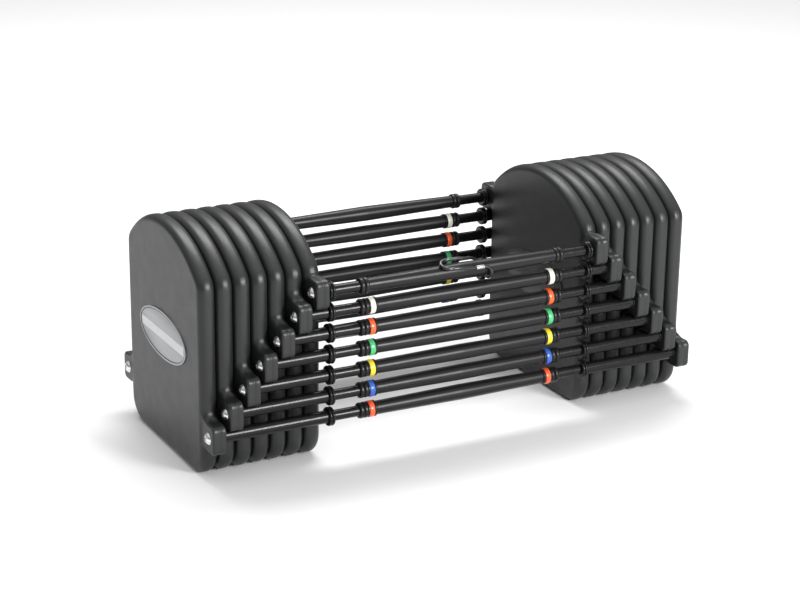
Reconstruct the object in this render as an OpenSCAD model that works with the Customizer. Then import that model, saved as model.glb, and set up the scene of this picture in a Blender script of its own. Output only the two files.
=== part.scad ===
// Weight stack of a selectorised block dumbbell: nested weights, each a left and a right
// coated plate joined by a front and a back rail. Units are millimetres, +Z is up, X runs
// along the rails, and the origin is on the floor under the middle of the stack.
// Weight 1 is the innermost, with the highest rails, and the last weight is the outermost.

/* [Weight stack] */
// Number of nested weights
weight_count = 7; // [3:1:7]
// Distance between the facing plates of weight 1, before plate_gap is taken off each plate
inner_gap = 229.5; // [200:0.5:260]
// Distance along X from one plate's centre plane to the next
plate_pitch = 14; // [13:0.5:16]
// Distance up Z from one rail's axis to the next
rail_pitch = 16.7; // [15.8:0.1:17.5]
// Height of the lowest rail's axis above the floor
lowest_rail_z = 37; // [30:0.5:40]

/* [Plates] */
// Width of a plate, front to back
plate_w = 147; // [140:1:148]
// Height of a plate
plate_h = 183; // [180:1:195]
// Air between neighbouring plates
plate_gap = 0.4; // [0.3:0.05:0.8]
// Radius of the plate's arched top edge
crown_r = 103; // [95:1:120]
// Radius that joins the arched top to the straight sides
crown_corner_r = 14; // [13:1:18]
// Radius of the two bottom corners
foot_corner_r = 20; // [14:1:24]
// Radius rolled onto both rims of the plate
edge_r = 6; // [4:0.5:6]

/* [Ears] */
// Distance from the middle of the stack to an ear's front face
ear_reach = 91.5; // [90:0.5:94]
// Thickness of an ear along X
ear_t = 11; // [10.5:0.1:11]
// Height of an ear above its rail's axis
ear_up = 11; // [9:0.5:11]
// Depth of an ear below its rail's axis, just short of the next rail's spacer
ear_down = 11.4; // [9:0.1:11.4]
// Radius of an ear's outer corners
ear_corner_r = 4.5; // [2:0.5:5]
// Radius of the hollow blend from an ear's top into the plate's side
ear_fillet_r = 8; // [3:0.5:9]
// The same radius on weight 1, whose ear is level with the crown's corner
top_ear_fillet_r = 3; // [2:0.5:4]

/* [Steel cores] */
// Coating round the core's outline
coat = 3; // [3:0.5:4]
// Coating on each flat side of the core at its ears
ear_coat = 0.8; // [0.5:0.1:1]

/* [Rails] */
// Distance from the middle of the stack to a rail's axis
rail_y = 81.8; // [81:0.1:83]
// Diameter of the rail rod
rod_d = 8.4; // [7.5:0.1:8.6]
// Half length of the plastic sleeve with its end collars
sleeve_reach = 88.4; // [84:0.1:92]
// Diameter of the sleeve
sleeve_d = 12.4; // [11.5:0.1:13]
// Length of the collar at each end of the sleeve, which is two round beads side by side
collar_w = 7.1; // [5:0.1:9]
// Radius of the beads' rims
bead_edge_r = 1.2; // [0.8:0.1:1.2]
// Diameter of the spacer tube between the flange and the ear
spacer_d = 10; // [9.4:0.1:10.2]
// Distance from the middle of the stack to the flange's inner face
flange_x = 110.2; // [106:0.1:111]
// Length of the flange
flange_w = 4.6; // [3:0.1:5]
// Diameter of the flange
flange_d = 14.8; // [12:0.1:15]
// Radius of the groove turned in the middle of the flange
flange_groove_r = 0.7; // [0.4:0.1:1]
// Length of the lip where the spacer tube meets the ear
spacer_lip_w = 1.4; // [1:0.1:1.4]
// Diameter of that lip
spacer_lip_d = 11.2; // [10.4:0.1:11.4]

/* [Colour bands] */
// Length of a colour band
band_w = 4.1; // [3:0.1:5]
// Sleeve between the band and the collar
band_gap = 0.85; // [0.5:0.05:1.5]
// Diameter of a colour band
band_d = 12.9; // [12.5:0.1:13.5]
// Diameter of the groove under a colour band
band_groove_d = 10.4; // [9.8:0.1:11]

/* [Screws] */
// Diameter of the button head
screw_head_d = 9.6; // [8:0.1:10]
// Height of the button head
screw_head_h = 2.6; // [2:0.1:2.8]
// Width across the flats of the hexagon socket
screw_socket_w = 3; // [2:0.1:4]
// Depth of the hexagon socket
screw_socket_h = 1.3; // [1:0.1:1.6]
// Diameter of the screw's shank
screw_d = 5; // [4:0.1:5]
// Length of the shank inside the rod
screw_grip = 12; // [8:1:20]

/* [Badges] */
// Length of the oval badge, front to back
badge_w = 92; // [60:1:110]
// Height of the oval badge
badge_h = 38; // [24:1:50]
// Thickness of the badge's base
badge_t = 0.6; // [0.4:0.1:0.6]
// Height of the badge's centre above the floor
badge_z = 91.5; // [80:0.5:100]
// Width of the badge's raised rim
badge_rim_w = 2; // [1:0.5:4]
// Height that the rim stands above the base
badge_rim_t = 0.3; // [0.2:0.1:0.3]

/* [Tether] */
// Diameter of the coated cable
tether_d = 2.4; // [2:0.1:2.4]
// Diameter of the crimped ferrule
crimp_d = 3.4; // [3:0.1:3.4]
// Length of the crimped ferrule
crimp_w = 7; // [5:0.5:7]

/* [Hidden] */
$fn = 72;
SIDES = [-1, 1];
WEIGHTS = [1 : weight_count];
BANDED = [2 : weight_count];
BAND_COLOURS = ["black", "ivory", "orangered", "mediumseagreen", "gold", "royalblue", "tomato"];
// Radial clearance of a part that is threaded or slid onto another of the same weight
slip = 0.05;

plate_t = plate_pitch - plate_gap;
flat_t = plate_t - 2 * edge_r;
side_y = plate_w / 2;
crown_z = plate_h - crown_r;
corner_y = side_y - crown_corner_r;
corner_z = crown_z + sqrt(pow(crown_r - crown_corner_r, 2) - pow(corner_y, 2));
crown_half_angle = asin(corner_y / (crown_r - crown_corner_r));
foot_y = side_y - foot_corner_r;

core_t = ear_t - 2 * ear_coat;
core_ear_reach = ear_reach - coat;
core_ear_half_h = 8.5;

rod_r = rod_d / 2;
rod_bore_r = screw_d / 2 + slip;
sleeve_r = sleeve_d / 2;
collar_x = sleeve_reach - collar_w;
band_x = collar_x - band_gap - band_w;

BADGE_STEPS = 96;

// Centre line of the tether from the ferrule round the sleeve and back, from the rail's axis
TETHER_ROUTE = [
    [4.5, -7.9, 2.8], [8, -7.9, 2.8], [11.5, -7.9, 2.8], [15, -7.9, 2.8], [18.5, -7.9, 2.8],
    [21.5, -8.2, 0], [21.5, -7, -4], [20.5, -3.4, -7.8], [20.5, 1.6, -8.4], [22, 6, -6.2],
    [24.5, 8.3, -2], [24.2, 8.3, 1.2], [20.5, 8, 3.4], [14.5, 6.2, 5.9], [8, 1.4, 8.4],
    [1, -2.2, 8.3], [-6, -4.6, 7.4], [-13, -6.2, 6.2], [-20.5, -7.8, 3.6], [-20, -8.5, 0.6],
    [-15.5, -8.3, 1.4], [-9.5, -7.8, 3.2], [-2.5, -7.5, 4]
];
TETHER_SIDES = 8;
TETHER_RINGS_PER_SPAN = 3;

// Centre plane of weight n's plate, and height of its rails
function plate_x(n) = inner_gap / 2 + (n - 0.5) * plate_pitch;
function rail_z(n) = lowest_rail_z + (weight_count - n) * rail_pitch;
function fillet_of(n) = n == 1 ? top_ear_fillet_r : ear_fillet_r;

// Draw in the plate's own plane: drawn X runs along Y, drawn Y runs up Z, extrusions run along X
module in_plate_plane(x) {
    translate([x, 0, 0]) rotate([90, 0, 90]) children();
}

// Draw along X: drawn Z runs along X from the given place
module along_x(x, y, z) {
    translate([x, y, z]) rotate([0, 90, 0]) children();
}

module for_each_rail(n) {
    for (side = SIDES) translate([0, side * rail_y, rail_z(n)]) children();
}

// Both ends of a thing drawn on the +X side
module both_ends() {
    children();
    mirror([1, 0, 0]) children();
}

// Section of the plate from a centre line out to its rim, with both rims rolled
module rim_section(reach) {
    translate([0, -plate_t / 2]) square([reach - edge_r, plate_t]);
    translate([0, -flat_t / 2]) square([reach, flat_t]);
    for (side = SIDES) {
        translate([reach - edge_r, side * (plate_t / 2 - edge_r)]) circle(r = edge_r);
    }
}

// The rim turned about a corner of the outline
module rim_turn(y, z, radius, start, sweep) {
    translate([y, z, 0]) rotate(start) rotate_extrude(angle = sweep) rim_section(radius);
}

// The rim run straight down from a height
module rim_run(z, length, reach) {
    translate([0, z, 0]) rotate([90, 0, 0]) linear_extrude(length) rim_section(reach);
}

module plate_slab() {
    rim_turn(0, crown_z, crown_r, 90 - crown_half_angle, 2 * crown_half_angle);
    for (side = [0, 1]) mirror([side, 0, 0]) {
        rim_turn(corner_y, corner_z, crown_corner_r, 0, 90 - crown_half_angle);
        rim_turn(foot_y, foot_corner_r, foot_corner_r, 270, 90);
        rim_run(corner_z, corner_z - foot_corner_r, side_y);
    }
    translate([foot_y, foot_corner_r, 0]) rotate(-90) rim_run(0, 2 * foot_y, foot_corner_r);
}

// Neck that carries an ear: it fills the plate's rolled rim out to the plane of the plate's side
module neck_outline(n) {
    translate([side_y - 2 * edge_r, rail_z(n) - ear_down])
        square([2 * edge_r, ear_up + ear_down + fillet_of(n)]);
}

// Outline of an ear on the +Y side, its corners rounded and its top blended into the side
module ear_outline(n) {
    z = rail_z(n);
    fillet = fillet_of(n);
    inner_y = ear_reach - ear_corner_r;
    translate([side_y, z - ear_down]) square([inner_y - side_y, ear_up + ear_down]);
    translate([side_y, z - ear_down + ear_corner_r])
        square([ear_reach - side_y, ear_up + ear_down - 2 * ear_corner_r]);
    for (v = [z - ear_down + ear_corner_r, z + ear_up - ear_corner_r]) {
        translate([inner_y, v]) circle(r = ear_corner_r);
    }
    difference() {
        translate([side_y, z + ear_up]) square([fillet, fillet]);
        translate([side_y + fillet, z + ear_up + fillet]) circle(r = fillet);
    }
}

// Outline of the steel core inside plate n
module core_outline(n, inset) {
    reach = crown_r + crown_corner_r;
    intersection() {
        translate([0, crown_z]) circle(r = crown_r - inset);
        translate([0, crown_z]) polygon([
            [0, 0],
            [reach * tan(crown_half_angle), reach],
            [-reach * tan(crown_half_angle), reach]
        ]);
    }
    for (side = SIDES) {
        translate([side * corner_y, corner_z]) circle(r = crown_corner_r - inset);
        translate([side * foot_y, foot_corner_r]) circle(r = foot_corner_r - inset);
        translate([min(0, side * core_ear_reach), rail_z(n) - core_ear_half_h])
            square([core_ear_reach, 2 * core_ear_half_h]);
    }
    translate([inset - side_y, foot_corner_r])
        square([plate_w - 2 * inset, corner_z - foot_corner_r]);
    translate([-foot_y, inset]) square([2 * foot_y, foot_corner_r - inset]);
}

// Coating of weight n on the +X side: the given shape without its steel core and rail bores
module coating(n) {
    color("dimgray") difference() {
        in_plate_plane(plate_x(n)) children();
        in_plate_plane(plate_x(n) - core_t / 2) linear_extrude(core_t) core_outline(n, coat);
        for_each_rail(n) {
            along_x(plate_x(n) - ear_t, 0, 0) cylinder(h = ear_t, r = rod_r + slip);
            along_x(plate_x(n), 0, 0) cylinder(h = ear_t, r = screw_d / 2 + slip);
        }
    }
}

// Front and back copies of an outline as thick as an ear
module front_and_back() {
    for (side = [0, 1]) mirror([side, 0, 0]) {
        translate([0, 0, -ear_t / 2]) linear_extrude(ear_t) children();
    }
}

// Left and right coated plates
module plates(n) {
    both_ends() coating(n) {
        plate_slab();
        front_and_back() neck_outline(n);
    }
}

// Four ears, which take over from the plates at the plane of their sides
module ears(n) {
    both_ends() coating(n) front_and_back() ear_outline(n);
}

// Left and right steel cores, each with a tab in both ears
module plate_cores(n) {
    color("slategray") both_ends() difference() {
        in_plate_plane(plate_x(n) - core_t / 2) linear_extrude(core_t)
            core_outline(n, coat + slip);
        for_each_rail(n) {
            along_x(plate_x(n) - core_t, 0, 0) cylinder(h = 2 * core_t, r = screw_d / 2 + slip);
        }
    }
}

// Front and back rods, drilled at both ends for the screws
module rails(n) {
    reach = plate_x(n) - core_t / 2;
    color("black") for_each_rail(n) difference() {
        along_x(-reach, 0, 0) cylinder(h = 2 * reach, r = rod_r);
        both_ends() along_x(reach - screw_grip, 0, 0) cylinder(h = reach, r = rod_bore_r);
    }
}

// Half section of one bead of a sleeve's end collar, with rounded rims
module bead_section() {
    r = bead_edge_r;
    w = collar_w / 2;
    translate([0, r]) square([sleeve_r, w - 2 * r]);
    square([sleeve_r - r, w]);
    for (v = [r, w - r]) translate([sleeve_r - r, v]) circle(r = r);
}

// Front and back plastic sleeves; those that carry colour bands have a groove at each end
module sleeves(n) {
    color("#1c1c1d") for_each_rail(n) difference() {
        union() {
            along_x(-collar_x, 0, 0) cylinder(h = 2 * collar_x, r = sleeve_r);
            both_ends() for (x = [collar_x, collar_x + collar_w / 2]) {
                along_x(x, 0, 0) rotate_extrude() bead_section();
            }
        }
        along_x(-sleeve_reach, 0, 0) cylinder(h = 2 * sleeve_reach, r = rod_r + slip);
        if (n > 1) both_ends() along_x(band_x, 0, 0) difference() {
            cylinder(h = band_w, r = band_d);
            cylinder(h = band_w, d = band_groove_d);
        }
    }
}

// Four flanged tubes that stand between the sleeve's end of the rod and the ears
module spacers(n) {
    ear_x = plate_x(n) - ear_t / 2;
    color("black") for_each_rail(n) both_ends() difference() {
        union() {
            along_x(flange_x, 0, 0) cylinder(h = flange_w, d = flange_d);
            along_x(flange_x, 0, 0) cylinder(h = ear_x - flange_x, d = spacer_d);
            along_x(ear_x - spacer_lip_w, 0, 0) cylinder(h = spacer_lip_w, d = spacer_lip_d);
        }
        along_x(flange_x, 0, 0) rotate_extrude()
            translate([flange_d / 2, flange_w / 2]) circle(r = flange_groove_r);
        along_x(0, 0, 0) cylinder(h = 2 * ear_x, r = rod_r + slip);
    }
}

// Four colour bands that mark the weight, one at each end of both sleeves
module bands(n) {
    color(BAND_COLOURS[n - 1]) for_each_rail(n) both_ends() along_x(band_x, 0, 0) difference() {
        cylinder(h = band_w, d = band_d);
        cylinder(h = band_w, d = band_groove_d + 2 * slip);
    }
}

// Half section of a button head: a dome that fits its diameter and height
module head_section() {
    r = screw_head_d / 2;
    h = screw_head_h;
    dome_r = (r * r + h * h) / (2 * h);
    intersection() {
        translate([0, h - dome_r]) circle(r = dome_r);
        square([r, h]);
    }
}

// Four button-head screws that hold the rods in the ears
module screws(n) {
    head_x = plate_x(n) + ear_t / 2;
    shank = ear_t / 2 + core_t / 2 + screw_grip - 1;
    color("silver") for_each_rail(n) both_ends() {
        difference() {
            along_x(head_x, 0, 0) rotate_extrude() head_section();
            along_x(head_x + screw_head_h - screw_socket_h, 0, 0)
                cylinder(h = screw_head_h, d = screw_socket_w / cos(30), $fn = 6);
        }
        along_x(head_x - shank, 0, 0) cylinder(h = shank, d = screw_d);
    }
}

module oval(w, h) {
    polygon([for (i = [0 : BADGE_STEPS - 1])
        let (a = 360 * i / BADGE_STEPS) [w / 2 * cos(a), h / 2 * sin(a)]]);
}

// Oval badge that lies on a plate's face, its back at x and its face towards +X
module badge(x) {
    in_plate_plane(x) translate([0, badge_z, 0]) {
        linear_extrude(badge_t) oval(badge_w, badge_h);
        linear_extrude(badge_t + badge_rim_t) difference() {
            oval(badge_w, badge_h);
            oval(badge_w - 2 * badge_rim_w, badge_h - 2 * badge_rim_w);
        }
    }
}

module outer_badges() {
    color("darkgray") both_ends() badge(plate_x(weight_count) + plate_t / 2);
}

module inner_badges() {
    face_x = plate_x(1) - plate_t / 2;
    color("darkgray") both_ends() translate([face_x, 0, 0]) mirror([1, 0, 0]) badge(0);
}

// A point and a direction on the closed smooth curve through the tether's route
function route_point(i) = TETHER_ROUTE[(i + len(TETHER_ROUTE)) % len(TETHER_ROUTE)];
function on_route(i, t) =
    let (a = route_point(i - 1), b = route_point(i), c = route_point(i + 1), d = route_point(i + 2))
    0.5 * (2 * b + t * (c - a) + t * t * (2 * a - 5 * b + 4 * c - d)
        + t * t * t * (3 * b - a - 3 * c + d));
function route_slope(i, t) =
    let (a = route_point(i - 1), b = route_point(i), c = route_point(i + 1), d = route_point(i + 2))
    0.5 * ((c - a) + 2 * t * (2 * a - 5 * b + 4 * c - d) + 3 * t * t * (3 * b - a - 3 * c + d));
function unit(v) = v / norm(v);

// One ring of the tether's tube, square to its path and turned towards the rail's axis
function tether_ring(i, t) =
    let (
        p = on_route(i, t),
        ahead = unit(route_slope(i, t)),
        outward = [0, p.y, p.z],
        up = unit(outward - (outward * ahead) * ahead),
        across = cross(ahead, up)
    )
    [for (k = [0 : TETHER_SIDES - 1])
        let (a = 360 * k / TETHER_SIDES) p + tether_d / 2 * (cos(a) * up + sin(a) * across)];

// Coated cable looped round the front sleeve of weight 1
module tether_loop() {
    spans = len(TETHER_ROUTE);
    rings = spans * TETHER_RINGS_PER_SPAN;
    points = [for (i = [0 : spans - 1], j = [0 : TETHER_RINGS_PER_SPAN - 1])
        each tether_ring(i, j / TETHER_RINGS_PER_SPAN)];
    faces = [for (r = [0 : rings - 1], k = [0 : TETHER_SIDES - 1])
        let (
            a = r * TETHER_SIDES,
            b = ((r + 1) % rings) * TETHER_SIDES,
            next = (k + 1) % TETHER_SIDES
        )
        each [[a + k, b + next, a + next], [a + k, b + k, b + next]]];
    color("#2a2a2c") translate([0, -rail_y, rail_z(1)]) polyhedron(points, faces);
}

// Ferrule that closes the tether's two ends
module tether_crimp() {
    start = TETHER_ROUTE[1];
    color("darkslategray") translate([0, -rail_y, rail_z(1)]) difference() {
        along_x(start.x, start.y, start.z) cylinder(h = crimp_w, d = crimp_d);
        along_x(0, start.y, start.z) cylinder(h = 3 * crimp_w, r = tether_d / 2 + slip);
    }
}

for (n = WEIGHTS) plates(n);
for (n = WEIGHTS) ears(n);
for (n = WEIGHTS) plate_cores(n);
for (n = WEIGHTS) rails(n);
for (n = WEIGHTS) sleeves(n);
for (n = WEIGHTS) spacers(n);
for (n = BANDED) bands(n);
for (n = WEIGHTS) screws(n);
outer_badges();
inner_badges();
tether_loop();
tether_crimp();
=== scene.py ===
"""Looks of a nested block dumbbell weight stack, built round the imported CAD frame.

Lengths are metres, +Z is up and X runs along the rails. Weight 1 is the innermost. What the CAD
frame can give is read from it: plate planes, rail heights, the ends of sleeves and spacers, and
the radii of rods, sleeves, flanges and screw heads.
"""

import math

import bmesh
import bpy
from mathutils import Matrix, Vector
from mathutils.geometry import delaunay_2d_cdt


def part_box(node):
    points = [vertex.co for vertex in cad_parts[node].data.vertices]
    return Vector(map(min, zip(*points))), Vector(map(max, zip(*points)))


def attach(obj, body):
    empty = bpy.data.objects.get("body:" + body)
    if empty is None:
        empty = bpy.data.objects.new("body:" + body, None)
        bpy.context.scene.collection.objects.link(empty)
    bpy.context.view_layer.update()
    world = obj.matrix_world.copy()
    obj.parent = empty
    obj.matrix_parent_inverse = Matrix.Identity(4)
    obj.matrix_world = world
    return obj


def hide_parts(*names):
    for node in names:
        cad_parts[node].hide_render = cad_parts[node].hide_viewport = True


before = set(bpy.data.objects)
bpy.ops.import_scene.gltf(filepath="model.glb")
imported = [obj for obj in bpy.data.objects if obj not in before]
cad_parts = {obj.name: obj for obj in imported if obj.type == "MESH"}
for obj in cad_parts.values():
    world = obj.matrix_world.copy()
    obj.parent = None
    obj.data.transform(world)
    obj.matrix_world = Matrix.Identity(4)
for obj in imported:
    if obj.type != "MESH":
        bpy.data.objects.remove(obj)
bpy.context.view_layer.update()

MM = 0.001
# Lengths in metres below this count as nothing
TINY = 1e-7
SIDES = (-1, 1)
WEIGHT_COUNT = sum(name.startswith("rails_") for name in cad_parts)
WEIGHTS = range(1, WEIGHT_COUNT + 1)


# ---------------------------------------------------------------- places read from the frame

def extent(node, axis):
    """Lowest and highest value of a CAD node along an axis."""
    low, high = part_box(node)
    return low[axis], high[axis]


def outer_face(n):
    """Outer face of weight n's right plate."""
    return extent(f"plates_{n}", 0)[1]


def rail_z(n):
    """Height of the axes of weight n's two rails."""
    low, high = extent(f"rails_{n}", 2)
    return (low + high) / 2


ROD_R = (extent("rails_1", 2)[1] - extent("rails_1", 2)[0]) / 2
RAIL_Y = extent("rails_1", 1)[1] - ROD_R
# Gap between the plates of neighbouring weights
PLATE_GAP = 0.4 * MM
PLATE_T = outer_face(2) - outer_face(1) - PLATE_GAP
PLATE_TOP = extent("plates_1", 2)[1]
EAR_REACH = extent("ears_1", 1)[1]
SLEEVE_END = extent("sleeves_1", 0)[1]
SLEEVE_R = (extent("sleeves_1", 2)[1] - extent("sleeves_1", 2)[0]) / 2
SPACER_END_1 = extent("spacers_1", 0)[1]
FLANGE_R = (extent("spacers_1", 2)[1] - extent("spacers_1", 2)[0]) / 2
HEAD_R = (extent("screws_1", 2)[1] - extent("screws_1", 2)[0]) / 2


def plate_x(n):
    """Middle plane of weight n's right plate."""
    return outer_face(n) - PLATE_T / 2


# The spacers of weight 1 end at the inner face of its ears
EAR_T = 2 * (plate_x(1) - SPACER_END_1)


# ---------------------------------------------------------------- mesh helpers

def smoothstep(t):
    """Smooth rise from 0 to 1 as t goes from 0 to 1."""
    t = min(max(t, 0.0), 1.0)
    return t * t * (3 - 2 * t)


def mix(a, b, t):
    """The value a share t of the way from a to b."""
    return a + (b - a) * t


def finish_mesh(name, bm, sharp_angle=math.radians(40)):
    """Object from a bmesh: outward normals, smooth faces and sharp edges above an angle."""
    bmesh.ops.recalc_face_normals(bm, faces=bm.faces)
    for face in bm.faces:
        face.smooth = True
    for edge in bm.edges:
        if len(edge.link_faces) == 2 and edge.calc_face_angle(0) > sharp_angle:
            edge.smooth = False
    mesh = bpy.data.meshes.new(name)
    bm.to_mesh(mesh)
    bm.free()
    piece = bpy.data.objects.new(name, mesh)
    bpy.context.scene.collection.objects.link(piece)
    return piece


def place(piece, material, body, slot, *nodes):
    """Give a piece its material and its body, and hide the CAD nodes it stands for; the slot is
    not used.
    """
    piece.data.materials.append(material)
    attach(piece, body)
    if nodes:
        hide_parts(*nodes)


def arc(centre, radius, start, end, steps):
    """Points on an arc from one angle to another, in degrees."""
    points = []
    for i in range(steps + 1):
        angle = math.radians(start + (end - start) * i / steps)
        points.append((centre[0] + radius * math.cos(angle), centre[1] + radius * math.sin(angle)))
    return points


def bridge(bm, a, b):
    """Join two closed rings of vertices with a band of faces."""
    for i in range(len(a)):
        j = (i + 1) % len(a)
        bm.faces.new((a[i], a[j], b[j], b[i]))


TURN_STEPS = 48
BEAD_STEPS = 5


def turned(bm, profile, centre, closed=True, mirror=False):
    """Turn a profile of (x, r) points about the line along X through centre (y, z).

    r may be a function of the angle, as for a hexagonal socket.
    """
    sign = -1 if mirror else 1
    rings = []
    for x, r in profile:
        if not callable(r) and r < TINY:
            rings.append([bm.verts.new((sign * x, centre[0], centre[1]))])
            continue
        ring = []
        for k in range(TURN_STEPS):
            angle = 2 * math.pi * k / TURN_STEPS
            radius = r(angle) if callable(r) else r
            ring.append(bm.verts.new((
                sign * x,
                centre[0] + radius * math.cos(angle),
                centre[1] + radius * math.sin(angle),
            )))
        rings.append(ring)
    pairs = list(zip(rings, rings[1:]))
    if closed:
        pairs.append((rings[-1], rings[0]))
    for a, b in pairs:
        for k in range(TURN_STEPS):
            j = (k + 1) % TURN_STEPS
            if len(a) == 1 and len(b) == 1:
                continue
            if len(a) == 1:
                bm.faces.new((a[0], b[j], b[k]))
            elif len(b) == 1:
                bm.faces.new((a[k], a[j], b[0]))
            else:
                bm.faces.new((a[k], a[j], b[j], b[k]))


def bead(start, end, radius, edge):
    """Profile of a round-rimmed bead, from its foot on one side over the top to the other."""
    return (
        arc((start + edge, radius - edge), edge, 180, 90, BEAD_STEPS)
        + arc((end - edge, radius - edge), edge, 90, 0, BEAD_STEPS)
    )


def rail_ends(n):
    """Centres (y, z) of weight n's front and back rail."""
    return [(side * RAIL_Y, rail_z(n)) for side in SIDES]


# ---------------------------------------------------------------- materials

def new_material(name, colour, roughness, metallic=0.0, specular=0.5, coat=0.0,
                 coat_roughness=0.1):
    """Material with plain shader values; returns it with its node tree and its shader."""
    material = bpy.data.materials.new(name)
    material.use_nodes = True
    shader = material.node_tree.nodes["Principled BSDF"]
    shader.inputs["Base Color"].default_value = (*colour, 1)
    shader.inputs["Roughness"].default_value = roughness
    shader.inputs["Metallic"].default_value = metallic
    shader.inputs["Specular IOR Level"].default_value = specular
    shader.inputs["Coat Weight"].default_value = coat
    shader.inputs["Coat Roughness"].default_value = coat_roughness
    material.diffuse_color = (*colour, 1)
    return material, material.node_tree, shader


def noise(tree, scale, detail, stretch):
    """Noise in object space; scale is in cycles per metre and stretch squeezes it by axis."""
    coords = tree.nodes.new("ShaderNodeTexCoord")
    mapping = tree.nodes.new("ShaderNodeMapping")
    mapping.inputs["Scale"].default_value = stretch
    texture = tree.nodes.new("ShaderNodeTexNoise")
    texture.inputs["Scale"].default_value = scale
    texture.inputs["Detail"].default_value = detail
    tree.links.new(coords.outputs["Object"], mapping.inputs["Vector"])
    tree.links.new(mapping.outputs["Vector"], texture.inputs["Vector"])
    return texture.outputs["Fac"]


def ramp(tree, fac, low, high, start=0.3, end=0.7):
    """Colour ramp between two colours (or greys) over part of the noise's range."""
    node = tree.nodes.new("ShaderNodeValToRGB")
    node.color_ramp.elements[0].position = start
    node.color_ramp.elements[1].position = end
    node.color_ramp.elements[0].color = (*low, 1)
    node.color_ramp.elements[1].color = (*high, 1)
    tree.links.new(fac, node.inputs["Fac"])
    return node.outputs["Color"]


def grey(value):
    return (value, value, value)


def add_bump(tree, shader, fac, distance):
    """Relief from a noise, its depth in metres."""
    node = tree.nodes.new("ShaderNodeBump")
    node.inputs["Distance"].default_value = distance
    node.inputs["Strength"].default_value = 1.0
    tree.links.new(fac, node.inputs["Height"])
    tree.links.new(node.outputs["Normal"], shader.inputs["Normal"])


# Levels of detail in the noises of a surface
MOTTLE_DETAIL = 5
GLOSS_DETAIL = 4
BUMP_DETAIL = 3
# The roughness varies finer than the colour by this factor
GLOSS_SCALE = 2.3


def surface(name, colour, roughness, spread=0.12, rough_spread=0.05, scale=60, stretch=(1, 1, 1),
            bump=0.0, bump_scale=1500, **shader_values):
    """Procedural finish: mottled colour and roughness, and a fine relief of its own scale."""
    material, tree, shader = new_material(name, colour, roughness, **shader_values)
    mottle = noise(tree, scale, MOTTLE_DETAIL, stretch)
    darker = tuple(c * (1 - spread) for c in colour)
    lighter = tuple(min(c * (1 + spread), 1) for c in colour)
    tree.links.new(ramp(tree, mottle, darker, lighter), shader.inputs["Base Color"])
    gloss = noise(tree, scale * GLOSS_SCALE, GLOSS_DETAIL, stretch)
    low, high = grey(roughness - rough_spread), grey(roughness + rough_spread)
    tree.links.new(ramp(tree, gloss, low, high), shader.inputs["Roughness"])
    if bump:
        add_bump(tree, shader, noise(tree, bump_scale, BUMP_DETAIL, stretch), bump)
    return material


# Noise drawn out along X, as on an extruded part
LENGTHWISE = (0.05, 1, 1)

URETHANE = surface("urethane", (0.0145, 0.0152, 0.0159), 0.38, spread=0.10, rough_spread=0.03,
                   scale=35, bump=0.00010, bump_scale=1400, specular=0.45)
GLOSS_BLACK = surface("rail_paint", (0.006, 0.006, 0.0065), 0.25, scale=90, bump=0.00003,
                      bump_scale=600, rough_spread=0.03, specular=0.26)
SLEEVE_BLACK = surface("sleeve_plastic", (0.008, 0.008, 0.0085), 0.33, spread=0.15, scale=220,
                       stretch=LENGTHWISE, bump=0.00005, bump_scale=900, rough_spread=0.04,
                       specular=0.28)
CORE_STEEL = surface("core_steel", (0.30, 0.30, 0.31), 0.42, metallic=1.0, scale=150, bump=0.00005)
STAINLESS = surface("screw_steel", (0.82, 0.82, 0.83), 0.24, spread=0.06, scale=400, metallic=1.0,
                    bump=0.00002, bump_scale=2500)
BADGE_METAL = surface("badge_metal", (0.36, 0.37, 0.38), 0.34, spread=0.06, scale=300,
                      stretch=(1, 0.05, 1), metallic=0.7, bump=0.00002, bump_scale=2500)
BADGE_DARK = surface("badge_border", (0.03, 0.03, 0.032), 0.40, scale=300)
# Dark copy of the badge for the inner faces, used for field and bar alike: painted shade standing
# in for the shadow over those badges
BADGE_PAINTED_SHADE = surface("badge_painted_shade", (0.026, 0.027, 0.028), 0.36, scale=300, bump=0.00002)
BADGE_BAR = surface("badge_bar", (0.70, 0.71, 0.72), 0.35, spread=0.04, scale=300)
VINYL = surface("tether_vinyl", (0.012, 0.012, 0.013), 0.22, scale=500, stretch=LENGTHWISE,
                bump=0.00003, coat=0.3)
FERRULE = surface("crimp_metal", (0.34, 0.34, 0.35), 0.32, metallic=1.0, scale=600, bump=0.00005)

BAND_COLOURS = {
    "white": (0.74, 0.74, 0.64),
    "orange": (0.80, 0.10, 0.015),
    "green": (0.05, 0.47, 0.16),
    "yellow": (0.83, 0.60, 0.02),
    "blue": (0.02, 0.10, 0.46),
    "red": (0.80, 0.09, 0.02),
}


# ---------------------------------------------------------------- jackets

EDGE_R = 6 * MM
EAR_EDGE_R = 1.6 * MM
SIDE_Y = 73.5 * MM
CROWN_R = 103 * MM
CROWN_CORNER_R = 14 * MM
FOOT_R = 20 * MM
EAR_UP = 11 * MM
EAR_DOWN = 11.4 * MM
EAR_CORNER_R = 4.5 * MM
EAR_TOP_FILLET = 8 * MM
TOP_EAR_FILLET = 3 * MM
EAR_BOTTOM_FILLET = 2.5 * MM
# Where the face steps down from the plate's thickness to the ear's
NECK = (67.5 * MM, 72.5 * MM)
# Distance past the side over which the rim's radius and the parting line change
RIM_BLEND = 4 * MM
PARTING_BLEND = 6 * MM
PARTING_DEPTH = 0.25 * MM
# Half width of the parting line as a share of half the wall between the two rims
PARTING_SHARE = 0.12
# Width of the strip that keeps the face flat beside the rolled rim
SUPPORT = 0.8 * MM
JACKET_SHARP = math.radians(60)

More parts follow.
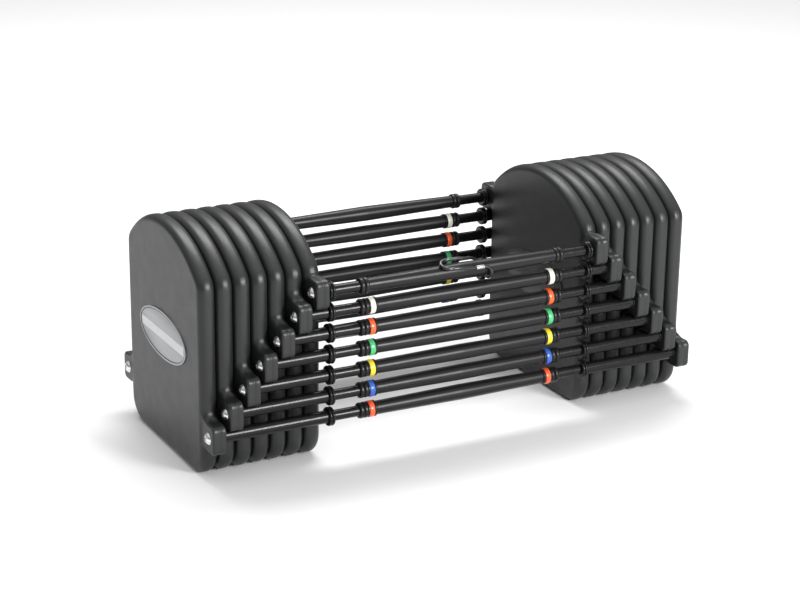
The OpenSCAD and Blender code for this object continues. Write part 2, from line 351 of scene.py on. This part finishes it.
RIM_STEPS = 10
CROWN_STEPS = 18
CORNER_STEPS = 8
FILLET_STEPS = 8
EAR_CORNER_STEPS = 6
BOTTOM_FILLET_STEPS = 5
FOOT_STEPS = 12
EAR_TOP_SPANS = 3
EAR_END_SPANS = 5
EAR_BOTTOM_SPANS = 4
FOOT_SPANS = 8
# Spacing of the points down the side, and the least number of spans there
SIDE_SPACING = 7 * MM
SIDE_SPANS = 2
# Grid of extra points over the neck: past it on both sides, and inside the ear's height
NECK_COLUMNS = 9
NECK_ROWS = 5
NECK_MARGIN = 1 * MM
NECK_INSET = 4 * MM

CROWN_Z = PLATE_TOP - CROWN_R
CORNER = (
    SIDE_Y - CROWN_CORNER_R,
    CROWN_Z + math.sqrt((CROWN_R - CROWN_CORNER_R) ** 2 - (SIDE_Y - CROWN_CORNER_R) ** 2),
)
CORNER_START = math.degrees(math.atan2(CORNER[1] - CROWN_Z, CORNER[0]))


def outline(n):
    """Half outline of weight n's plate with its ear, from the crown's middle to the foot's.

    Each entry is (y, z, normal y, normal z).
    """
    ear_top, ear_foot = rail_z(n) + EAR_UP, rail_z(n) - EAR_DOWN
    path = []

    def round_off(centre, radius, start, end, steps, hollow=False):
        """Points and normals round an arc; a hollow arc's normals point to its centre."""
        for y, z in arc(centre, radius, start, end, steps):
            ny, nz = (y - centre[0]) / radius, (z - centre[1]) / radius
            path.append((y, z, -ny, -nz) if hollow else (y, z, ny, nz))

    def straight(spans, end):
        """Even points from the last one towards end, with the last one's normal."""
        y, z, ny, nz = path[-1]
        for i in range(1, spans):
            path.append((mix(y, end[0], i / spans), mix(z, end[1], i / spans), ny, nz))

    def side_spans(length):
        return max(SIDE_SPANS, round(length / SIDE_SPACING))

    if n == 1:
        fillet = TOP_EAR_FILLET
        rise = ear_top + fillet - CORNER[1]
        fillet_y = CORNER[0] + math.sqrt((CROWN_CORNER_R + fillet) ** 2 - rise ** 2)
        corner_end = math.degrees(math.atan2(rise, fillet_y - CORNER[0]))
    else:
        fillet = EAR_TOP_FILLET
        fillet_y = SIDE_Y + fillet
        corner_end = 0
    round_off((0, CROWN_Z), CROWN_R, 90, CORNER_START, CROWN_STEPS)
    path.pop()
    round_off(CORNER, CROWN_CORNER_R, CORNER_START, corner_end, CORNER_STEPS)
    if n > 1:
        straight(side_spans(CORNER[1] - ear_top - fillet), (SIDE_Y, ear_top + fillet))
    else:
        path.pop()
    round_off((fillet_y, ear_top + fillet), fillet, 180 + corner_end, 270, FILLET_STEPS,
              hollow=True)
    ear_y = EAR_REACH - EAR_CORNER_R
    straight(EAR_TOP_SPANS, (ear_y, ear_top))
    round_off((ear_y, ear_top - EAR_CORNER_R), EAR_CORNER_R, 90, 0, EAR_CORNER_STEPS)
    straight(EAR_END_SPANS, (EAR_REACH, ear_foot + EAR_CORNER_R))
    round_off((ear_y, ear_foot + EAR_CORNER_R), EAR_CORNER_R, 0, -90, EAR_CORNER_STEPS)
    straight(EAR_BOTTOM_SPANS, (SIDE_Y + EAR_BOTTOM_FILLET, ear_foot))
    side_end = ear_foot - EAR_BOTTOM_FILLET
    round_off((SIDE_Y + EAR_BOTTOM_FILLET, side_end), EAR_BOTTOM_FILLET, 90, 180,
              BOTTOM_FILLET_STEPS, hollow=True)
    straight(side_spans(side_end - FOOT_R), (SIDE_Y, FOOT_R))
    round_off((SIDE_Y - FOOT_R, FOOT_R), FOOT_R, 0, -90, FOOT_STEPS)
    straight(FOOT_SPANS, (0, 0))
    path.append((0, 0, 0, -1))
    return path


def half_thickness(y):
    """Half thickness of the jacket at the flat of its face: full on the plate, less on the ear."""
    t = smoothstep((abs(y) - NECK[0]) / (NECK[1] - NECK[0]))
    return mix(PLATE_T / 2, EAR_T / 2, t)


def rim_radius(y):
    """Radius of the rolled rim where the outline is at y."""
    return mix(EDGE_R, EAR_EDGE_R, smoothstep((abs(y) - SIDE_Y) / RIM_BLEND))


def interior(support, n):
    """Triangles of the flat part of a jacket's face, inside the support loop.

    The neck, where the face steps down to the ear, has extra points. They are returned first,
    and the triangles count them after the loop's own.
    """
    points = [Vector((y, z)) for _, y, z in support]
    count = len(points)
    low = rail_z(n) - EAR_DOWN + NECK_INSET
    high = rail_z(n) + EAR_UP - NECK_INSET
    for side in SIDES:
        for i in range(NECK_COLUMNS):
            y = mix(NECK[0] - NECK_MARGIN, NECK[1] + NECK_MARGIN, i / (NECK_COLUMNS - 1))
            for j in range(NECK_ROWS):
                points.append(Vector((side * y, mix(low, high, j / (NECK_ROWS - 1)))))
    edges = [(i, (i + 1) % count) for i in range(count)]
    verts, _, faces, origins, _, _ = delaunay_2d_cdt(points, edges, [], 1, TINY)
    index = {}
    extra = []
    for i, sources in enumerate(origins):
        kept = [s for s in sources if s < count]
        if kept:
            index[i] = kept[0]
        else:
            index[i] = count + len(extra)
            extra.append((verts[i].x, verts[i].y))
    return extra, [[index[i] for i in face] for face in faces]


def add_jacket(bm, n, side):
    """Add the jacket on one side of weight n, ears included, to a mesh."""
    half = outline(n)
    ring = half + [(-y, z, -ny, nz) for y, z, ny, nz in reversed(half[1:-1])]
    centre_x = plate_x(n)

    def vert(x, y, z):
        return bm.verts.new((side * (centre_x + x), y, z))

    loops = []
    for k in range(RIM_STEPS + 1):
        phi = math.pi / 2 * k / RIM_STEPS
        loop = []
        for y, z, ny, nz in ring:
            r = rim_radius(y)
            face = half_thickness(y - ny * r)
            inset = r * (1 - math.cos(phi))
            loop.append((face - r + r * math.sin(phi), y - ny * inset, z - nz * inset))
        loops.append(loop)
    support = []
    for y, z, ny, nz in ring:
        inset = rim_radius(y) + SUPPORT
        support.append((half_thickness(y - ny * inset), y - ny * inset, z - nz * inset))
    loops.append(support)

    extra, triangles = interior(support, n)
    rims = []
    for face_side in SIDES:
        rows = [[vert(face_side * x, y, z) for x, y, z in loop] for loop in loops]
        for a, b in zip(rows, rows[1:]):
            bridge(bm, a, b)
        verts = [*rows[-1], *(vert(face_side * half_thickness(y), y, z) for y, z in extra)]
        for triangle in triangles:
            bm.faces.new([verts[i] for i in triangle])
        rims.append(rows[0])

    # The wall between the two rims, with a faint parting line down the middle of the ears
    columns = [rims[0]]
    for share in (-PARTING_SHARE, 0, PARTING_SHARE):
        column = []
        for (x, y, z), (_, _, ny, nz) in zip(loops[0], ring):
            on_ear = smoothstep((abs(y) - SIDE_Y) / PARTING_BLEND)
            depth = PARTING_DEPTH * on_ear if share == 0 else 0
            column.append(vert(share * x, y - ny * depth, z - nz * depth))
        columns.append(column)
    columns.append(rims[1])
    for a, b in zip(columns, columns[1:]):
        bridge(bm, a, b)


for n in WEIGHTS:
    bm = bmesh.new()
    for side in SIDES:
        add_jacket(bm, n, side)
    piece = finish_mesh(f"jacket_pair_{n}", bm, JACKET_SHARP)
    place(piece, URETHANE, f"weight_{n}", "urethane", f"plates_{n}", f"ears_{n}")


# ---------------------------------------------------------------- rails, sleeves, spacers, bands

COLLAR_W = 7.1 * MM
BAND_W = 4.1 * MM
BAND_GAP = 0.85 * MM
BAND_R = 6.45 * MM
BAND_FLOOR_R = 5.2 * MM
BAND_STEPS = 10
# Below 1, the band's crown is flatter than half a sine
BAND_FLATNESS = 0.6
BEAD_EDGE_R = 1.2 * MM
LIP_W = 2.4 * MM
LIP_RISE = 0.1 * MM
LIP_EDGE_R = 1.0 * MM
# Depth of the sleeve below its full radius between the band and the collar
RELIEF = 0.3 * MM
FLANGE_X = 110.2 * MM
FLANGE_W = 4.6 * MM
FLANGE_EDGE_R = 1.0 * MM
SPACER_R = 5 * MM
SPACER_LIP_R = 5.6 * MM
SPACER_LIP_W = 1.4 * MM
SPACER_LIP_EDGE_R = 0.5 * MM
SLIP = 0.05 * MM
BORE_R = ROD_R + SLIP

COLLAR_X = SLEEVE_END - COLLAR_W
BAND_X = COLLAR_X - BAND_GAP - BAND_W


def both_ways(profile):
    """A right half profile joined to its mirror image on the left."""
    return [(-x, r) for x, r in reversed(profile)] + profile


for n in WEIGHTS:
    body = f"weight_{n}"

    end = [(0, SLEEVE_R)]
    if n > 1:
        end += bead(BAND_X - LIP_W, BAND_X, SLEEVE_R + LIP_RISE, LIP_EDGE_R)
        end += [(BAND_X, BAND_FLOOR_R), (BAND_X + BAND_W, BAND_FLOOR_R)]
        end += [(BAND_X + BAND_W, SLEEVE_R - RELIEF), (COLLAR_X, SLEEVE_R - RELIEF)]
    middle = COLLAR_X + COLLAR_W / 2
    end += bead(COLLAR_X, middle, SLEEVE_R, BEAD_EDGE_R)
    end += bead(middle, SLEEVE_END, SLEEVE_R, BEAD_EDGE_R)
    end += [(SLEEVE_END, BORE_R)]
    bm = bmesh.new()
    for centre in rail_ends(n):
        turned(bm, both_ways(end), centre)
    sleeves = finish_mesh(f"sleeve_pair_{n}", bm)
    place(sleeves, SLEEVE_BLACK, body, "sleeve_plastic", f"sleeves_{n}")

    ear_x = plate_x(n) - EAR_T / 2
    half_flange = FLANGE_X + FLANGE_W / 2
    tube = [(FLANGE_X, BORE_R)]
    tube += bead(FLANGE_X, half_flange, FLANGE_R, FLANGE_EDGE_R)
    tube += bead(half_flange, FLANGE_X + FLANGE_W, FLANGE_R, FLANGE_EDGE_R)
    tube += [(FLANGE_X + FLANGE_W, SPACER_R), (ear_x - SPACER_LIP_W, SPACER_R)]
    tube += bead(ear_x - SPACER_LIP_W, ear_x, SPACER_LIP_R, SPACER_LIP_EDGE_R)
    tube += [(ear_x, BORE_R)]
    bm = bmesh.new()
    for centre in rail_ends(n):
        for mirror in (False, True):
            turned(bm, tube, centre, mirror=mirror)
    spacers = finish_mesh(f"spacer_set_{n}", bm)
    place(spacers, GLOSS_BLACK, body, "rail_steel", f"spacers_{n}")

for n, (colour_name, colour) in zip(range(2, WEIGHT_COUNT + 1), BAND_COLOURS.items()):
    slot = f"band_{colour_name}"
    material = surface(slot, colour, 0.32, spread=0.05, rough_spread=0.04, scale=300,
                       bump=0.00003, bump_scale=1200, coat=0.2)
    crown = [
        (BAND_X + BAND_W * t, mix(SLEEVE_R, BAND_R, math.sin(math.pi * t) ** BAND_FLATNESS))
        for t in [i / BAND_STEPS for i in range(BAND_STEPS + 1)]
    ]
    ring = [(BAND_X, BAND_FLOOR_R + SLIP), *crown, (BAND_X + BAND_W, BAND_FLOOR_R + SLIP)]
    bm = bmesh.new()
    for centre in rail_ends(n):
        for mirror in (False, True):
            turned(bm, ring, centre, mirror=mirror)
    place(finish_mesh(f"band_set_{n}", bm), material, f"weight_{n}", slot, f"bands_{n}")


# ---------------------------------------------------------------- screws

HEAD_H = 2.6 * MM
SOCKET_HALF = 1.5 * MM
SOCKET_DEPTH = 1.3 * MM
# Where the dome starts, as a multiple of the distance to the socket's corners
SOCKET_RIM = 1.15
DOME_STEPS = 9
SHANK_R = 2.5 * MM
SHANK_L = 20 * MM


def hexagon(angle):
    """Distance from the middle to the side of the hex socket at an angle."""
    sixth = math.pi / 3
    return SOCKET_HALF / math.cos(angle % sixth - sixth / 2)


def dome(x):
    """Dome of the button head from the socket's edge to the rim, seated at x."""
    dome_r = (HEAD_R ** 2 + HEAD_H ** 2) / (2 * HEAD_H)
    start = SOCKET_HALF / math.cos(math.pi / 6) * SOCKET_RIM
    return [
        (x + HEAD_H - dome_r + math.sqrt(dome_r ** 2 - r ** 2), r)
        for r in [mix(start, HEAD_R, i / DOME_STEPS) for i in range(DOME_STEPS + 1)]
    ]


for n in WEIGHTS:
    head_x = plate_x(n) + EAR_T / 2
    top = dome(head_x)
    crest = top[0][0]
    profile = [(crest - SOCKET_DEPTH, 0), (crest - SOCKET_DEPTH, hexagon), (crest, hexagon)]
    profile += top + [(head_x, SHANK_R), (head_x - SHANK_L, SHANK_R), (head_x - SHANK_L, 0)]
    bm = bmesh.new()
    for centre in rail_ends(n):
        for mirror in (False, True):
            turned(bm, profile, centre, closed=False, mirror=mirror)
    screws = finish_mesh(f"screw_set_{n}", bm)
    place(screws, STAINLESS, f"weight_{n}", "screw_steel", f"screws_{n}")


# ---------------------------------------------------------------- badges

BADGE_HALF_W = 46 * MM
BADGE_HALF_H = 19 * MM
BADGE_Z = 91.5 * MM
BADGE_STEPS = 96
# Inset from the edge and height above the plate, in millimetres: rim, dark line, field
BADGE_PROFILE = (
    (0, 0), (0, 0.7), (0.3, 0.88), (0.7, 0.9), (1.4, 0.8), (1.6, 0.5), (2.3, 0.5), (2.5, 0.6),
)
# Spans of the profile that are dark
BADGE_DARK_SPANS = (4, 5)
BAR_HALF = 3.6 * MM
BAR_INSET = 3 * MM
# Height above the plate and growth of each outline of the bar, from its foot to its top
BAR_PROFILE = ((0.3 * MM, 0), (0.67 * MM, 0), (0.72 * MM, -0.2 * MM))


def oval_ring(bm, x, inset, out, lift):
    """Oval of vertices inside the badge's edge, lifted out of the plane at x."""
    return [
        bm.verts.new((
            x + out * lift,
            (BADGE_HALF_W - inset) * math.cos(2 * math.pi * k / BADGE_STEPS),
            BADGE_Z + (BADGE_HALF_H - inset) * math.sin(2 * math.pi * k / BADGE_STEPS),
        ))
        for k in range(BADGE_STEPS)
    ]


def badge(bm, x, out):
    """Oval badge on the plane at x, facing out: a rounded rim, a dark line and a flat field."""
    rings = [oval_ring(bm, x, inset * MM, out, lift * MM) for inset, lift in BADGE_PROFILE]
    for span, (a, b) in enumerate(zip(rings, rings[1:])):
        for k in range(BADGE_STEPS):
            j = (k + 1) % BADGE_STEPS
            face = bm.faces.new((a[k], a[j], b[j], b[k]))
            face.material_index = 1 if span in BADGE_DARK_SPANS else 0
    bm.faces.new(rings[-1])
    bm.faces.new(list(reversed(rings[0])))


def badge_bar(bm, x, out):
    """Plain raised bar across the field, ending just inside the dark line."""
    share = BAR_HALF / (BADGE_HALF_H - BAR_INSET)
    half_w = (BADGE_HALF_W - BAR_INSET) * math.sqrt(1 - share ** 2)
    rows = []
    for lift, grow in BAR_PROFILE:
        rows.append([
            bm.verts.new((x + out * lift, y * (half_w + grow), BADGE_Z + z * (BAR_HALF + grow)))
            for y, z in ((-1, -1), (1, -1), (1, 1), (-1, 1))
        ])
    for a, b in zip(rows, rows[1:]):
        bridge(bm, a, b)
    bm.faces.new(rows[-1])
    bm.faces.new(list(reversed(rows[0])))


INNER_FACE = outer_face(1) - PLATE_T
OUTER_FACE = outer_face(WEIGHT_COUNT)
for label, body, face_x, facing, field, bar in (
    ("outer", f"weight_{WEIGHT_COUNT}", OUTER_FACE, 1, BADGE_METAL, BADGE_BAR),
    # The inner badges take the dark copy: painted shade on the same badge as the outer one
    ("inner", "weight_1", INNER_FACE, -1, BADGE_PAINTED_SHADE, BADGE_PAINTED_SHADE),
):
    plates, bars = bmesh.new(), bmesh.new()
    for side in SIDES:
        badge(plates, side * face_x, side * facing)
        badge_bar(bars, side * face_x, side * facing)
    piece = finish_mesh(f"badge_pair_{label}", plates)
    place(piece, field, body, "badge", f"{label}_badges")
    piece.data.materials.append(BADGE_DARK)
    place(finish_mesh(f"badge_bar_{label}", bars), bar, body, "badge")


# ---------------------------------------------------------------- tether and its ferrule

TETHER_R = 1.2 * MM
FERRULE_R = 1.7 * MM
FERRULE_W = 7 * MM
FERRULE_X = 8 * MM
TETHER_SIDES = 12
TETHER_STEPS = 6
TETHER_HOME = Vector((0, -RAIL_Y, rail_z(1)))
FERRULE_EDGE_R = 0.4 * MM
# From here on the tether's places are in millimetres from the middle of the rail's axis, and its
# turns in degrees. Inside the ferrule the strand runs from the middle out at one end, and comes
# back in at the other end to just short of the middle.
FERRULE_Y = -7.9
FERRULE_Z = 2.8
FERRULE_MIDDLE = 11.5
FERRULE_OUT = 13.6
FERRULE_IN = (8.2, 11.3)
# Radius of the tether's centre line where it is wrapped round the sleeve
LAY_R = 8.4
# Bend off the front into the wrap, and the wrap's end as a distance around the sleeve
WRAP_BEND = 6.4
WRAP_TURNS = (0, 22.5, 45, 67.5, 90)
WRAP_START_X = 15.6
WRAP_END = -22.5
WRAP_SPANS = 7
# Bend out of the wrap, then knots of the arch: along the sleeve and around it
ARCH_BEND = 8.0
ARCH_TURNS = (0, 20, 40, 60)
ARCH_KNOTS = ((13.4, -32.2), (8.6, -34.9), (3.6, -37.1))
# The bight is a flat half circle lying over the sleeve's top, tipped towards the front
BIGHT_R = 5.6
BIGHT_X = -14.0
BIGHT_LEAD = BIGHT_X + 2.8
BIGHT_RUN = (-2, -8, BIGHT_LEAD)
BIGHT_TURNS = range(0, 181, 30)
BIGHT_LIFT = 7.6
BIGHT_TIP = math.radians(20)
BIGHT_SHIFT = 0.3
# Knots from the bight back along the front to the ferrule
RETURN_KNOTS = ((-6, -8.4, 4.6), (-0.5, -8.2, 3.8), (5, -8, 3.1))


def on_sleeve(x, around):
    """Point at a distance along the sleeve and a distance around it from its front."""
    angle = around / LAY_R
    return x, -LAY_R * math.cos(angle), LAY_R * math.sin(angle)


def on_bight(x, forward):
    """Point in the bight's plane, a distance forward of where the plane is nearest the sleeve."""
    return (
        x,
        -BIGHT_LIFT * math.sin(BIGHT_TIP) - forward * math.cos(BIGHT_TIP),
        BIGHT_LIFT * math.cos(BIGHT_TIP) - forward * math.sin(BIGHT_TIP),
    )


def tether_route():
    """Knots of the tether's centre line from the ferrule's middle round the sleeve and back."""
    front = LAY_R * math.atan2(FERRULE_Z, -FERRULE_Y)
    knots = [(x, FERRULE_Y, FERRULE_Z) for x in (FERRULE_MIDDLE, FERRULE_OUT)]
    for turn in WRAP_TURNS:
        a = math.radians(turn)
        along = WRAP_START_X + WRAP_BEND * math.sin(a)
        knots.append(on_sleeve(along, front - WRAP_BEND * (1 - math.cos(a))))
    wrap_x = WRAP_START_X + WRAP_BEND
    wrap_top = front - WRAP_BEND
    for step in range(1, WRAP_SPANS):
        around = wrap_top + (WRAP_END - wrap_top) * step / WRAP_SPANS
        knots.append(on_sleeve(wrap_x, around))
    for turn in ARCH_TURNS:
        a = math.radians(turn)
        around = WRAP_END - ARCH_BEND * math.sin(a)
        knots.append(on_sleeve(wrap_x - ARCH_BEND * (1 - math.cos(a)), around))
    knots += [on_sleeve(x, around) for x, around in ARCH_KNOTS]
    knots += [on_bight(x, BIGHT_SHIFT - BIGHT_R) for x in BIGHT_RUN]
    for turn in BIGHT_TURNS:
        a = math.radians(turn)
        forward = BIGHT_SHIFT - BIGHT_R * math.cos(a)
        knots.append(on_bight(BIGHT_X - BIGHT_R * math.sin(a), forward))
    knots += [on_bight(BIGHT_LEAD, BIGHT_SHIFT + BIGHT_R), *RETURN_KNOTS]
    return knots + [(x, FERRULE_Y, FERRULE_Z) for x in FERRULE_IN]


def tether_line():
    """Points of the centre line, smoothed through the route's knots."""
    knots = [Vector(p) * MM + TETHER_HOME for p in tether_route()]
    line = []
    for i in range(len(knots) - 1):
        a, b, c, d = (knots[min(max(i + k - 1, 0), len(knots) - 1)] for k in range(4))
        for step in range(TETHER_STEPS):
            t = step / TETHER_STEPS
            line.append(0.5 * (
                2 * b + t * (c - a) + t * t * (2 * a - 5 * b + 4 * c - d)
                + t ** 3 * (3 * b - a - 3 * c + d)
            ))
    return line + [knots[-1]]


def add_strand(bm, line):
    """Round strand along a centre line, closed at both ends."""
    rings = []
    for i, point in enumerate(line):
        ahead = (line[min(i + 1, len(line) - 1)] - line[max(i - 1, 0)]).normalized()
        outward = Vector((0, point.y - TETHER_HOME.y, point.z - TETHER_HOME.z))
        up = (outward - outward.dot(ahead) * ahead).normalized()
        across = ahead.cross(up)
        rings.append([
            bm.verts.new(point + TETHER_R * (math.cos(a) * up + math.sin(a) * across))
            for a in [2 * math.pi * k / TETHER_SIDES for k in range(TETHER_SIDES)]
        ])
    for a, b in zip(rings, rings[1:]):
        bridge(bm, a, b)
    bm.faces.new(rings[0])
    bm.faces.new(rings[-1])


line = tether_line()
bm = bmesh.new()
add_strand(bm, line)
tether = finish_mesh("tether_strand", bm)
place(tether, VINYL, "weight_1", "tether_vinyl", "tether_loop")

ferrule_end = FERRULE_X + FERRULE_W
ferrule = [(FERRULE_X, TETHER_R + SLIP)]
ferrule += bead(FERRULE_X, ferrule_end, FERRULE_R, FERRULE_EDGE_R)
ferrule += [(ferrule_end, TETHER_R + SLIP)]
bm = bmesh.new()
turned(bm, ferrule, (TETHER_HOME.y + FERRULE_Y * MM, TETHER_HOME.z + FERRULE_Z * MM))
ferrule_piece = finish_mesh("tether_ferrule", bm)
place(ferrule_piece, FERRULE, "weight_1", "crimp_metal", "tether_crimp")


# ---------------------------------------------------------------- CAD nodes that stay

for n in WEIGHTS:
    for node, material in ((f"rails_{n}", GLOSS_BLACK), (f"plate_cores_{n}", CORE_STEEL)):
        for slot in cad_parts[node].material_slots:
            slot.material = material


# ---------------------------------------------------------------- studio

FLOOR_SIZE = 8.0
SKY_HORIZON = 0.10
SKY_ZENITH = 1.0
SKY_STRENGTH = 1.0
floor_bm = bmesh.new()
bmesh.ops.create_grid(floor_bm, x_segments=1, y_segments=1, size=FLOOR_SIZE / 2)
floor = finish_mesh("floor", floor_bm)
floor_material, _, _ = new_material("floor", (0.80, 0.80, 0.80), 0.7, specular=0.2)
floor.data.materials.append(floor_material)

world = bpy.data.worlds.new("studio")
world.use_nodes = True
sky = world.node_tree
direction = sky.nodes.new("ShaderNodeTexCoord")
split = sky.nodes.new("ShaderNodeSeparateXYZ")
sky.links.new(direction.outputs["Generated"], split.inputs["Vector"])
glow = ramp(sky, split.outputs["Z"], grey(SKY_HORIZON), grey(SKY_ZENITH), 0.0, 1.0)
sky.links.new(glow, sky.nodes["Background"].inputs["Color"])
sky.nodes["Background"].inputs["Strength"].default_value = SKY_STRENGTH
bpy.context.scene.world = world

OBJECT_MIDDLE = Vector((0, 0, PLATE_TOP / 2))


def softbox(name, place_at, size, power):
    """Rectangular light aimed at the middle of the object."""
    light = bpy.data.lights.new(name, "AREA")
    light.shape = "RECTANGLE"
    light.size, light.size_y = size
    light.energy = power
    lamp = bpy.data.objects.new(name, light)
    lamp.location = place_at
    lamp.rotation_euler = (OBJECT_MIDDLE - Vector(place_at)).to_track_quat("-Z", "Y").to_euler()
    bpy.context.scene.collection.objects.link(lamp)


softbox("key", (0.60, -1.7, 0.75), (0.45, 0.6), 36)
softbox("top", (0.2, 0.8, 1.7), (1.6, 0.7), 32)

# Camera fitted to the rails, ears and screws
AZIMUTH = math.radians(-28.07)
ELEVATION = math.radians(19.27)
ROLL = math.radians(0.75)
DISTANCE = 1.659
TARGET = Vector((-0.00955, 0, 0.0885))
LENS = 93.1

camera_data = bpy.data.cameras.new("camera")
camera_data.lens = LENS
camera_data.sensor_width = 36
camera = bpy.data.objects.new("camera", camera_data)
back = Vector((
    math.sin(AZIMUTH) * math.cos(ELEVATION),
    -math.cos(AZIMUTH) * math.cos(ELEVATION),
    math.sin(ELEVATION),
))
camera.location = TARGET + DISTANCE * back
turn = back.to_track_quat("Z", "Y").to_matrix()
roll = turn @ Matrix.Rotation(ROLL, 3, "Z")
camera.rotation_euler = roll.to_euler()
bpy.context.scene.collection.objects.link(camera)
bpy.context.scene.camera = camera

bpy.context.scene.view_settings.view_transform = "Standard"
